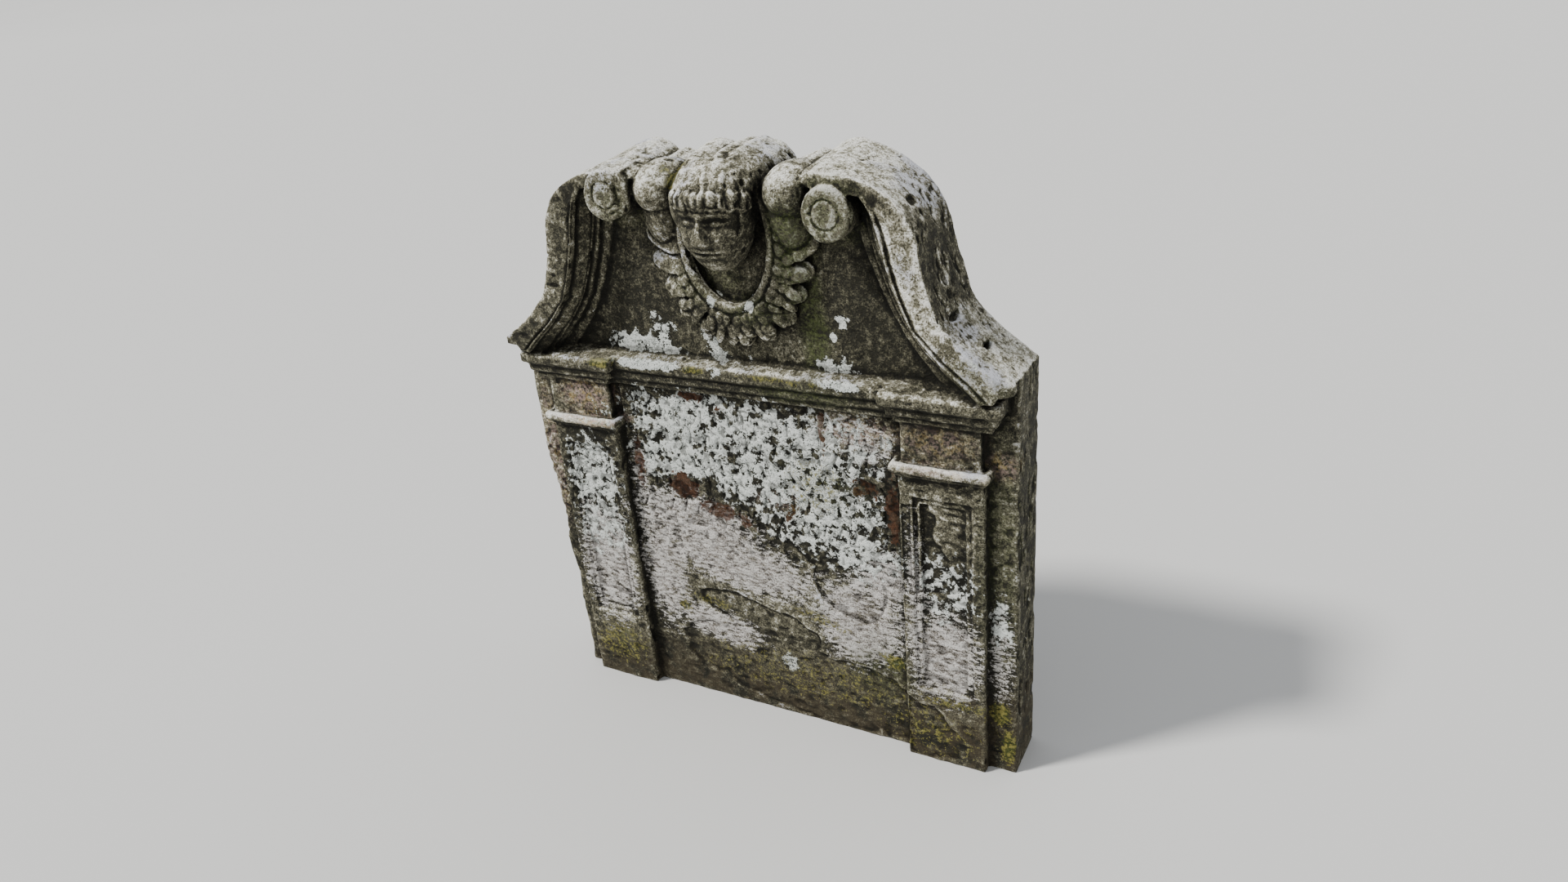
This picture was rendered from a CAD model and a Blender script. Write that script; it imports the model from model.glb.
"""Looks of a weathered sandstone headstone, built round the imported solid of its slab.

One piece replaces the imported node. It starts as a copy of the node, gets finer carving and is worn
down by weather: pits, chips, flaked sheets and rounded arrises. Lichen, moss, algae and soil are laid
on by named places on the stone, and a procedural stone finish paints them.
"""
import itertools
import logging
import math
import random
from dataclasses import dataclass, field
from enum import Enum

import bmesh
import bpy
import numpy as np
from mathutils import Matrix, Vector
from mathutils.bvhtree import BVHTree

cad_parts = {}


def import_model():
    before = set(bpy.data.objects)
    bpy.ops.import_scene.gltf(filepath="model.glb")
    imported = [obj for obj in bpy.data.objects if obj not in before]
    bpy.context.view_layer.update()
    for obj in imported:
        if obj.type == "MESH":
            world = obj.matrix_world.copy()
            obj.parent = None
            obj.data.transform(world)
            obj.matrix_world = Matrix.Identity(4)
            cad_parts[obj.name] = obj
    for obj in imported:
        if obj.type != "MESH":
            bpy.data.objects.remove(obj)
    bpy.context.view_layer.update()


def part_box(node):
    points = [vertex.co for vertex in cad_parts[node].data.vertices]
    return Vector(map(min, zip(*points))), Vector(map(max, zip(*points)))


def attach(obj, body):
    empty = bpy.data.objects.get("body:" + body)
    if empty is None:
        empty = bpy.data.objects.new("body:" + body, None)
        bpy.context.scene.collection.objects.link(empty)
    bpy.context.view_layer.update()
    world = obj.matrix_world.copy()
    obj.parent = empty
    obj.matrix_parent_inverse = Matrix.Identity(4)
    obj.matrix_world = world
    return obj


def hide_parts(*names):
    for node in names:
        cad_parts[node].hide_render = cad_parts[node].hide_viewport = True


LOG = logging.getLogger("headstone")
NODE = "headstone"
SLOT = "weathered_sandstone"
TINY = 1e-4  # a length in metres that is too short to matter
PRIMES = (73856093, 19349663, 83492791)  # they give neighbouring cells of noise unlike values

Tint = tuple[float, float, float]
Socket = bpy.types.NodeSocket


class Side(Enum):
    """The two sides of the stone, as someone who faces its front sees them."""

    LEFT = -1
    RIGHT = 1


class Growth(Enum):
    """What covers the stone. Each is one attribute of the mesh, from 0, none, to 1, thick."""

    LICHEN = "lichen"
    SHEET = "sheet"
    MOSS = "moss"
    ALGAE = "algae"
    BARE = "bare"
    SOIL = "soil"
    BLUSH = "blush"
    PALE = "pale"
    CREVICE = "crevice"
    HOLLOW = "hollow"
    SKY = "sky"


@dataclass(frozen=True)
class Detail:
    """How fine the stone is modelled.

    Attributes:
        grain: Size of one cell of the mesh before it is thinned, in metres.
        carving: Triangles that the head and the wings keep.
        plain: Triangles that the rest keeps.
        rays: Rays from each point that look for shelter.
    """

    grain: float
    carving: int
    plain: int
    rays: int

    @classmethod
    def chosen(cls) -> "Detail":
        return cls(grain=0.0021, carving=74000, plain=118000, rays=14)


@dataclass(frozen=True)
class Slab:
    """The slab's main planes and the places on it that the finer carving is set by, in metres.

    Attributes:
        half_width: From the middle to the slab's edge.
        front: The slab's front plane, without the relief.
        back: The slab's back plane.
        top: The highest point.
    """

    half_width: float
    front: float
    back: float
    top: float

    @classmethod
    def from_frame(cls) -> "Slab":
        """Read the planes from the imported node, whose middle plane is at y = 0."""
        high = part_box(NODE)[1]
        return cls(high.x, -high.y, high.y, high.z)


# Numeric helpers


def smooth_step(low: float, high: float, value: np.ndarray) -> np.ndarray:
    """Rise smoothly from 0 at low to 1 at high."""
    share = np.clip((value - low) / (high - low), 0.0, 1.0)
    return share * share * (3 - 2 * share)


def bell(value: np.ndarray, reach: float) -> np.ndarray:
    """A rounded bump that is 1 at zero and fades over the reach."""
    return np.exp(-((value / reach) ** 2))


def scattered(cells: np.ndarray, seed: int) -> np.ndarray:
    """Give each cell of a grid its own value from -1 to 1."""
    mixed = cells[:, 0] * PRIMES[0] ^ cells[:, 1] * PRIMES[1] ^ cells[:, 2] * PRIMES[2] ^ seed * 2654435
    mixed = (mixed ^ (mixed >> 13)) * 1274126177
    mixed = mixed ^ (mixed >> 16)
    return (mixed & 0xFFFF) / 32767.5 - 1.0


def grain_noise(points: np.ndarray, size: tuple[float, float, float], seed: int) -> np.ndarray:
    """Smooth noise from -1 to 1.

    Args:
        points: Places, one row each.
        size: Length of one swell along x, y and z.
        seed: Which pattern to use.

    Returns:
        One value for each place.
    """
    turned = points
    if len(set(size)) == 1:  # even swells are turned off the axes, so that no rows of cells show
        turned = points @ np.array(((0.80, 0.36, -0.48), (-0.60, 0.48, -0.64), (0.0, 0.80, 0.60)))
    grid = turned / np.array(size) + 31.7 * seed
    cells = np.floor(grid).astype(np.int64)
    share = grid - cells
    share = share * share * (3 - 2 * share)
    total = np.zeros(len(points))
    for corner in itertools.product((0, 1), repeat=3):
        weight = np.prod(np.where(np.array(corner) == 1, share, 1 - share), axis=1)
        total += weight * scattered(cells + np.array(corner), seed)
    return total


def rough_noise(points: np.ndarray, size: float, layers: int, seed: int) -> np.ndarray:
    """Noise in several layers, each half the size and weight of the one before."""
    total, weight, norm = np.zeros(len(points)), 1.0, 0.0
    for layer in range(layers):
        step = size / 2**layer
        total += weight * grain_noise(points, (step, step, step), seed + layer)
        norm += weight
        weight *= 0.55
    return total / norm


# Places on the front


@dataclass(frozen=True)
class Spot:
    """A rounded place on the front of the stone.

    Attributes:
        x: Its middle across the stone.
        z: Its middle above the underside.
        wide: Its half width.
        high: Its half height.
        turn: Its slant in degrees, against the clock.
        amount: How much it covers at its middle.
    """

    x: float
    z: float
    wide: float
    high: float
    turn: float = 0.0
    amount: float = 1.0

    def cover(self, points: np.ndarray) -> np.ndarray:
        """Say how much of the place is at each point, 0.5 on its rim."""
        angle = math.radians(self.turn)
        dx, dz = points[:, 0] - self.x, points[:, 2] - self.z
        along = (dx * math.cos(angle) + dz * math.sin(angle)) / self.wide
        across = (dz * math.cos(angle) - dx * math.sin(angle)) / self.high
        away = np.sqrt(along**2 + across**2)
        return self.amount * (1.0 - smooth_step(0.45, 1.55, away))


def places(*rows: tuple[float, ...]) -> tuple[Spot, ...]:
    """Make a place of each row of numbers, which follow the order of the place's own values."""
    return tuple(Spot(*row) for row in rows)


def covered(spots: tuple[Spot, ...], points: np.ndarray) -> np.ndarray:
    """The most that any of the places covers, at each point."""
    total = np.zeros(len(points))
    for spot in spots:
        total = np.maximum(total, spot.cover(points))
    return total


# Finer carving


def ball(
    centre: Vector, radii: tuple[float, float, float], turn: Matrix | None = None, segments: int = 48
) -> bmesh.types.BMesh:
    """Start a form as an ellipsoid.

    Args:
        centre: Its middle.
        radii: Its half sizes.
        turn: A rotation, made before it is placed.
        segments: Faces round its middle.

    Returns:
        The form.
    """
    bm = bmesh.new()
    placing = Matrix.Translation(centre) @ (turn or Matrix()) @ Matrix.Diagonal((*radii, 1))
    bmesh.ops.create_uvsphere(bm, u_segments=segments, v_segments=segments * 2 // 3, radius=1, matrix=placing)
    return bm


@dataclass
class Carving:
    """Closed forms that overlap, to be fused into one skin.

    Attributes:
        back: The slab's back plane, at which every form is cut flat.
        whole: All forms so far.
    """

    back: float
    whole: bmesh.types.BMesh = field(default_factory=bmesh.new)

    def add(self, form: bmesh.types.BMesh) -> None:
        """Add a form, cut flat at the back and with its faces outwards, and free it."""
        if max(vertex.co.y for vertex in form.verts) > self.back + TINY:
            parts = form.verts[:] + form.edges[:] + form.faces[:]
            bmesh.ops.bisect_plane(
                form, geom=parts, plane_co=(0, self.back, 0), plane_no=(0, 1, 0), clear_outer=True,
            )
            bmesh.ops.holes_fill(form, edges=[edge for edge in form.edges if edge.is_boundary])
        bmesh.ops.recalc_face_normals(form, faces=form.faces)
        mesh = bpy.data.meshes.new("form")
        form.to_mesh(mesh)
        form.free()
        self.whole.from_mesh(mesh)
        bpy.data.meshes.remove(mesh)

    def finished(self) -> bpy.types.Mesh:
        """Hand over all forms as one mesh."""
        mesh = bpy.data.meshes.new("carving")
        self.whole.to_mesh(mesh)
        self.whole.free()
        return mesh


@dataclass(frozen=True)
class Swelling:
    """A rise or hollow of the face: its place, its reach each way and how far it stands out."""

    side: float
    height: float
    reach: float
    rise: float
    stand: float


@dataclass(frozen=True)
class Wing:
    """How one wing is laid.

    Attributes:
        side: The side it is on.
        scales_from: Degrees round the rim at which its scales start.
        steepest: Degrees above the horizontal at which its highest feather points.
        bend: How late the feathers turn down, from the highest to the lowest.
    """

    side: Side
    scales_from: float
    steepest: float
    bend: float


@dataclass
class WingedHead:
    """The head with its hair, and the wings that fold round it.

    Attributes:
        slab: The slab that it stands on.
        head_height: From the chin to the crown.
        head_width: Across the temples.
        head_depth: From the face to the back of the ball.
        chin: The chin above the underside.
        projection: From the slab's front to the front of the ball.
        ring_width: Across the wings' plain rim.
        ring_drop: The rim's lowest point below the chin.
        rim_radius: Half the rim's thickness.
        rim_beads: Balls that the rim is made from.
        hairline: Its height, as a share of the head's.
        hair_stand: How far the hair stands out from the ball, as a share of its depth.
        relief: How strongly the face is worked.
        jaw: Height and half width of the head, both as shares, from the chin up.
        face: Its rises and hollows.
        fringe: Locks over the forehead.
        cap_depth: From the slab's back to the front of the hair on top.
        wings: How each wing is laid.
        feathers: Long feathers of each wing.
        feather_length: The highest feather's.
        feather_width: A feather's, before it is varied.
        feather_stand: How far the highest feather stands out from the slab.
        leaf_thickness: Half the thickness of a feather or scale.
        crest_gap: From the slab's top down to the tip of the highest feather.
        scale_width: A scale's, before it is varied.
        scale_stand: How far the inner scales stand out from the slab.
        scale_rows: Each row's place outside the rim, and its scales' length and number.
        lobes: Soft lumps behind each wing: how far outside the rim and behind the front, their height
            as a share of the head's, and their half sizes.
        near_reach: Half the width and height of the carved part of the front.
    """

    slab: Slab
    head_height: float = 0.170
    head_width: float = 0.124
    head_depth: float = 0.104
    chin: float = 0.858
    projection: float = 0.086
    ring_width: float = 0.156
    ring_drop: float = 0.066
    rim_radius: float = 0.0074
    rim_beads: int = 140
    hairline: float = 0.660
    hair_stand: float = 0.15
    relief: float = 1.75
    jaw: tuple[tuple[float, float], ...] = (
        (0.00, 0.10), (0.05, 0.42), (0.12, 0.62), (0.25, 0.82), (0.40, 0.94), (0.60, 1.00),
        (0.78, 0.97), (0.90, 0.80), (1.00, 0.30),
    )
    face: tuple[Swelling, ...] = (
        Swelling(0.00, 0.500, 0.80, 0.050, -0.055),   # the hollow that both eyes lie in
        Swelling(0.40, 0.500, 0.18, 0.050, -0.100),   # socket
        Swelling(0.40, 0.492, 0.13, 0.027, 0.115),    # eye
        Swelling(0.40, 0.512, 0.16, 0.009, -0.030),   # fold of the lid
        Swelling(0.40, 0.468, 0.15, 0.008, -0.026),   # under the lid
        Swelling(0.40, 0.570, 0.24, 0.020, 0.050),    # brow
        Swelling(0.00, 0.440, 0.09, 0.080, 0.130),    # bridge of the nose
        Swelling(0.00, 0.345, 0.12, 0.034, 0.150),    # tip of the nose
        Swelling(0.17, 0.330, 0.07, 0.024, 0.075),    # side of the nose
        Swelling(0.55, 0.330, 0.24, 0.085, 0.060),    # cheek
        Swelling(0.00, 0.243, 0.22, 0.015, 0.075),    # upper lip
        Swelling(0.00, 0.217, 0.27, 0.008, -0.075),   # between the lips
        Swelling(0.00, 0.190, 0.18, 0.016, 0.080),    # lower lip
        Swelling(0.00, 0.150, 0.22, 0.018, -0.045),   # under the lip
        Swelling(0.00, 0.070, 0.24, 0.045, 0.080),    # chin
    )
    fringe: int = 15
    cap_depth: float = 0.184
    wings: tuple[Wing, ...] = (Wing(Side.LEFT, -34, 48, 1.6), Wing(Side.RIGHT, 2, 32, 2.0))
    feathers: int = 9
    feather_length: float = 0.086
    feather_width: float = 0.042
    feather_stand: float = 0.0125
    leaf_thickness: float = 0.0056
    crest_gap: float = 0.032
    scale_width: float = 0.020
    scale_stand: float = 0.0185
    scale_rows: tuple[tuple[float, float, int], ...] = (
        (0.008, 0.024, 15), (0.021, 0.027, 13), (0.035, 0.028, 11),
    )
    lobes: tuple[tuple[float, float, float, Vector], ...] = (
        (0.035, 0.010, 0.690, Vector((0.045, 0.062, 0.042))),
        (0.033, 0.000, 0.500, Vector((0.037, 0.034, 0.060))),
    )
    near_reach: tuple[float, float] = (0.19, 0.175)

    @property
    def middle(self) -> Vector:
        """The middle of the ball that the head is made from."""
        depth = self.slab.front - self.projection + self.head_depth / 2
        return Vector((0, depth, self.chin + self.head_height / 2))

    def on_ring(self, angle: float, out: float) -> Vector:
        """Find a point of the wings.

        Args:
            angle: Degrees round the rim, 0 to the right and -90 down.
            out: How far outside the rim's middle it lies.

        Returns:
            Its x and z.
        """
        centre = self.chin + 0.28 * self.head_height
        drop = centre - (self.chin - self.ring_drop)
        turn = math.radians(angle)
        return Vector(((self.ring_width / 2 + out) * math.cos(turn), centre + (drop + out) * math.sin(turn)))

    def face_stand(self, side: float, height: float) -> float:
        """How far the face and the hair above it stand out from the plain ball, as a share of its depth."""
        stand = 0.0
        for part in self.face:
            for middle in {part.side, -part.side}:
                away = ((side - middle) / part.reach) ** 2 + ((height - part.height) / part.rise) ** 2
                stand += self.relief * part.stand * math.exp(-away / 2)
        line = self.hairline + 0.014 * math.cos(8.0 * side + 0.6) - 0.05 * side * side
        hair = min(1.0, max(0.0, (height - line) / 0.035 + 0.5))
        return stand * (1 - hair) + self.hair_stand * hair

    def jaw_width(self, height: float) -> float:
        """Half the head's width at a height, as a share of the greatest."""
        for (low, start), (high, end) in itertools.pairwise(self.jaw):
            if height <= high:
                return start + (end - start) * (height - low) / (high - low)
        return self.jaw[-1][1]

    def carve_head(self, carving: Carving) -> None:
        """Draw a ball in towards the chin and work the face and the front hair on it."""
        head = ball(Vector(), (1, 1, 1), segments=132)
        for vertex in head.verts:
            turn = math.atan2(vertex.co.x, -vertex.co.y)
            turn -= 0.45 * math.sin(turn)  # the faces crowd together in front
            latitude = math.asin(max(-1.0, min(1.0, vertex.co.z)))
            height = 0.5 + latitude / math.pi
            round_in = max(0.0, math.cos(latitude)) ** 0.55
            side = self.jaw_width(height) * math.sin(turn) * min(1.0, 9 * round_in)
            ahead = round_in * math.cos(turn)
            if ahead > 0:
                ahead += self.face_stand(side, height) * min(1.0, 3 * math.cos(turn)) * round_in
            vertex.co = self.middle + Vector((
                side * self.head_width / 2, -ahead * self.head_depth / 2, (height - 0.5) * self.head_height,
            ))
        carving.add(head)

    def carve_hair(self, carving: Carving) -> None:
        """Lay the hair back over the stone: a blunt cap of locks, a lower roll and a wavy fringe."""
        self.carve_cap(carving)
        half = self.head_width / 2
        height = 0.46 * self.head_height
        centre = Vector((-0.86 * half, self.slab.back, self.chin + 1.028 * self.head_height - height))
        carving.add(ball(centre, (0.86 * half, 3.1 * self.slab.back, height), segments=96))
        for k in range(self.fringe):
            turn = math.radians(-84 + 168 * k / (self.fringe - 1) + 3 * math.sin(5.3 * k))
            line = self.hairline + 0.018 - 0.05 * (1 - math.cos(turn)) + 0.016 * math.sin(2.3 * k)
            centre = self.middle + Vector((
                math.sin(turn) * half * 0.97, -0.98 * math.cos(turn) * self.head_depth / 2,
                (line - 0.48) * self.head_height,
            ))
            slant = Matrix.Rotation(math.radians(16 * math.sin(1.7 * k)), 4, "Y")
            width = 0.0085 + 0.0022 * math.sin(2.9 * k + 1)
            carving.add(ball(centre, (width, 0.0085, 0.014 + 0.0025 * math.sin(4.1 * k)), slant, 24))

    def carve_cap(self, carving: Carving) -> None:
        """Comb the hair on top back to the slab's back plane, with shallow partings along it."""
        base = self.chin + 0.735 * self.head_height
        rise = self.slab.top - base
        cap = ball(Vector(), (1, 1, 1), segments=120)
        for vertex in cap.verts:
            x, y, z = vertex.co
            lock = 1 + 0.030 * math.cos(15 * x + 4.0 * z + 1.5 * math.sin(3 * y)) * (1 - x * x)
            blunt = math.copysign(abs(y) ** 0.55, y)
            vertex.co = Vector((
                0.012 + x * 1.06 * self.head_width / 2,
                self.slab.back + blunt * self.cap_depth * (0.97 * lock),
                base + z * (rise * (0.96 * lock) if z > 0 else 0.017),
            ))
        carving.add(cap)

    def add_leaf(
        self, carving: Carving, side: Side, angle: float, out: float, pointing: float,
        size: tuple[float, float], stand: float,
    ) -> None:
        """Add one feather or scale, a long leaf whose lower edge turns out from the stone.

        Args:
            carving: The forms so far.
            side: The wing.
            angle: Degrees round the rim of its root.
            out: Its root outside the rim's middle.
            pointing: Where it points, in degrees above the horizontal.
            size: Its length and width.
            stand: How far its middle stands out from the slab.
        """
        length, width = size
        turn = math.radians(pointing)
        middle = self.on_ring(angle, out) + Vector((math.cos(turn), math.sin(turn))) * length / 2
        reach = (math.sin(turn) * length + math.cos(turn) * width) / 2
        middle.y = min(middle.y, self.slab.top - self.crest_gap - reach)
        tilt = Matrix.Rotation(-turn, 4, "Y") @ Matrix.Rotation(-0.34, 4, "X") @ Matrix.Rotation(0.12, 4, "Z")
        placing = Matrix.Translation((middle.x, self.slab.front - stand, middle.y)) @ tilt
        flip = Matrix.Diagonal((side.value, 1, 1, 1))
        leaf = ball(Vector(), (1, 1, 1), Matrix.Rotation(math.pi / 2, 4, "Y"), 20)
        for vertex in leaf.verts:
            x, y, z = vertex.co
            x = math.copysign(abs(x) ** 0.75, x)
            taper = 1 - 0.18 * x
            shape = Vector((x * length / 2, y * taper * self.leaf_thickness, z * taper * width / 2))
            vertex.co = flip @ placing @ shape
        carving.add(leaf)

    def carve_wings(self, carving: Carving) -> None:
        """Cover the wings with rows of scales inside and long feathers outside, worn unevenly."""
        chance = random.Random(11)
        for wing in self.wings:
            self.carve_scales(carving, wing, chance)
            self.carve_feathers(carving, wing, chance)
            for out, behind, rise, radii in self.lobes:
                centre = Vector((
                    wing.side.value * (self.ring_width / 2 + out), self.slab.front + behind,
                    self.chin + rise * self.head_height,
                ))
                carving.add(ball(centre, tuple(radii), segments=64))

    def carve_scales(self, carving: Carving, wing: Wing, chance: random.Random) -> None:
        """Set rows of scales round one side of the rim, down to its lowest point."""
        first, last = wing.scales_from, -90
        for row, (out, length, full) in enumerate(self.scale_rows):
            count = round(full * (first - last) / 114)
            for k in range(count):
                share = (k + 0.5 * (row % 2)) / count
                angle = first + (last - first) * share + chance.uniform(-2, 2)
                pointing = angle + (1 - share) * 18 + chance.uniform(-14, 14)
                size = (length * chance.uniform(0.80, 1.10), self.scale_width * chance.uniform(0.8, 1.25))
                stand = self.scale_stand - 0.0014 * row + chance.uniform(-0.0015, 0.0015)
                self.add_leaf(carving, wing.side, angle, out, pointing, size, stand)

    def carve_feathers(self, carving: Carving, wing: Wing, chance: random.Random) -> None:
        """Fan the long feathers of one wing from its shoulder down under the chin."""
        for k in range(self.feathers):
            share = k / (self.feathers - 1)
            angle = 34 - 118 * share
            pointing = wing.steepest - (wing.steepest + 82) * share**wing.bend + chance.uniform(-3, 3)
            length = self.feather_length * (1 - 0.26 * share) * chance.uniform(0.94, 1.04)
            size = (length, self.feather_width * chance.uniform(0.85, 1.05))
            self.add_leaf(carving, wing.side, angle, 0.0, pointing, size, self.feather_stand - 0.003 * share)

    def carve_rim(self, carving: Carving) -> None:
        """Run the plain rim round under the chin, from shoulder to shoulder."""
        for k in range(self.rim_beads):
            point = self.on_ring(44 - 268 * k / (self.rim_beads - 1), 0.0)
            middle = Vector((point.x, self.slab.front - 0.016, point.y))
            carving.add(ball(middle, (self.rim_radius,) * 3, segments=12))

    def near(self, points: np.ndarray) -> np.ndarray:
        """Say how much each point belongs to the head and the wings, from 0 to 1."""
        dx = points[:, 0] / self.near_reach[0]
        dz = (points[:, 2] - (self.chin + 0.25 * self.head_height)) / self.near_reach[1]
        return (1 - smooth_step(0.9, 1.15, np.sqrt(dx**2 + dz**2))) * (points[:, 1] < self.slab.front + 0.03)


@dataclass(frozen=True)
class Moulding:
    """The swan-neck moulding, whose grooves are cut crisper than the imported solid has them.

    Attributes:
        heights: Levels above the underside at which the edges are given.
        outer: The outer edge from the middle, at each level.
        inner: The inner edge from the middle, at each level.
        grooves: Place across the moulding from 0, outside, to 1, inside; half width; depth in metres.
        foot: Levels between which the grooves start.
        end: Levels between which they run out under the volutes.
    """

    heights: tuple[float, ...] = (0.672, 0.717, 0.751, 0.795, 0.831, 0.860, 0.889, 0.929, 0.959, 0.985)
    outer: tuple[float, ...] = (0.500, 0.450, 0.402, 0.353, 0.338, 0.3285, 0.322, 0.315, 0.298, 0.266)
    inner: tuple[float, ...] = (0.362, 0.322, 0.290, 0.262, 0.247, 0.236, 0.226, 0.216, 0.2145, 0.217)
    grooves: tuple[tuple[float, float, float], ...] = (
        (0.455, 0.026, 0.0042), (0.560, 0.022, 0.0040), (0.742, 0.030, 0.0040), (0.860, 0.026, 0.0034),
    )
    foot: tuple[float, float] = (0.690, 0.700)
    end: tuple[float, float] = (0.945, 0.965)

    def depth_at(self, points: np.ndarray, ahead: np.ndarray) -> np.ndarray:
        """How deep the grooves are cut at each point, in metres."""
        outer = np.interp(points[:, 2], self.heights, self.outer)
        inner = np.interp(points[:, 2], self.heights, self.inner)
        share = (outer - np.abs(points[:, 0])) / (outer - inner)
        level = smooth_step(*self.foot, points[:, 2]) * (1 - smooth_step(*self.end, points[:, 2]))
        total = np.zeros(len(points))
        for place, reach, depth in self.grooves:
            total = np.maximum(total, depth * bell(share - place, reach))
        return total * level * smooth_step(0.1, 0.5, ahead)


@dataclass(frozen=True)
class Inscription:
    """Rows of shallow strokes in the place of the inscription. They aren't letters.

    Attributes:
        left: Where the rows start.
        right: Where they end.
        first_row: The top row's middle above the underside.
        row_pitch: From row to row.
        rows: How many there are.
        pitch: From stroke to stroke.
        height: Of one stroke.
        width: Of one stroke.
        depth: Of one stroke.
        slants: How the strokes lean, in degrees, in turn.
        edge: Where the field ends on both sides of the middle.
    """

    left: float = -0.235
    right: float = 0.232
    first_row: float = 0.588
    row_pitch: float = 0.045
    rows: int = 5
    pitch: float = 0.0270
    height: float = 0.026
    width: float = 0.0042
    depth: float = 0.0032
    slants: tuple[float, ...] = (0.0, 14.0, -12.0, 0.0, 24.0, -20.0)
    edge: float = 0.252

    def depth_at(self, points: np.ndarray) -> np.ndarray:
        """How deep the strokes are cut at each point, in metres."""
        total = np.zeros(len(points))
        count = int((self.right - self.left) / self.pitch)
        for row in range(self.rows):
            z = self.first_row - row * self.row_pitch
            near = np.abs(points[:, 2] - z) < self.height
            local = points[near]
            cut = np.zeros(len(local))
            for k in range(count + 1):
                if (k + 2 * row) % 5 == 4:  # a gap between groups of strokes
                    continue
                x = self.left + (self.right - self.left) * k / count
                slant = math.radians(self.slants[(3 * k + row) % len(self.slants)])
                dx, dz = local[:, 0] - x, local[:, 2] - z
                across = dx * math.cos(slant) - dz * math.sin(slant)
                along = dz * math.cos(slant) + dx * math.sin(slant)
                ends = 1 - smooth_step(0.42 * self.height, 0.54 * self.height, np.abs(along))
                cut = np.maximum(cut, ends * bell(across, self.width / 2))
            total[near] = np.maximum(total[near], cut)
        return self.depth * total


@dataclass
class Mesh:
    """The stone's mesh as arrays, so that whole surfaces are worked at once.

    Attributes:
        points: Places of the vertices, one row each.
        normals: Their outward directions.
        pairs: The edges, as pairs of vertices.
    """

    points: np.ndarray
    normals: np.ndarray
    pairs: np.ndarray

    @classmethod
    def read(cls, mesh: bpy.types.Mesh) -> "Mesh":
        """Take the arrays from a Blender mesh."""
        points = np.zeros(len(mesh.vertices) * 3, np.float32)
        normals = np.zeros(len(mesh.vertices) * 3, np.float32)
        pairs = np.zeros(len(mesh.edges) * 2, np.int32)
        mesh.vertices.foreach_get("co", points)
        mesh.vertices.foreach_get("normal", normals)
        mesh.edges.foreach_get("vertices", pairs)
        points, normals = (values.reshape(-1, 3).astype(float) for values in (points, normals))
        return cls(points, normals, pairs.reshape(-1, 2))

    def spread(self, values: np.ndarray, times: int) -> np.ndarray:
        """Blend the values of each vertex half with its neighbours', so many times."""
        flat = values.reshape(len(self.points), -1).astype(float)
        count = np.bincount(self.pairs.ravel(), minlength=len(self.points)).astype(float)
        count[count == 0] = 1.0
        for _ in range(times):
            mean = np.empty_like(flat)
            for column in range(flat.shape[1]):
                value = flat[:, column]
                mean[:, column] = np.bincount(self.pairs[:, 0], value[self.pairs[:, 1]], len(value))
                mean[:, column] += np.bincount(self.pairs[:, 1], value[self.pairs[:, 0]], len(value))
            flat += 0.5 * (mean / count[:, None] - flat)
        return flat.reshape(values.shape)

    def hollow(self, times: int) -> np.ndarray:
        """How far each point lies in a hollow, or with a minus sign on an edge, in metres."""
        return np.sum((self.spread(self.points, times) - self.points) * self.normals, axis=1)


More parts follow.
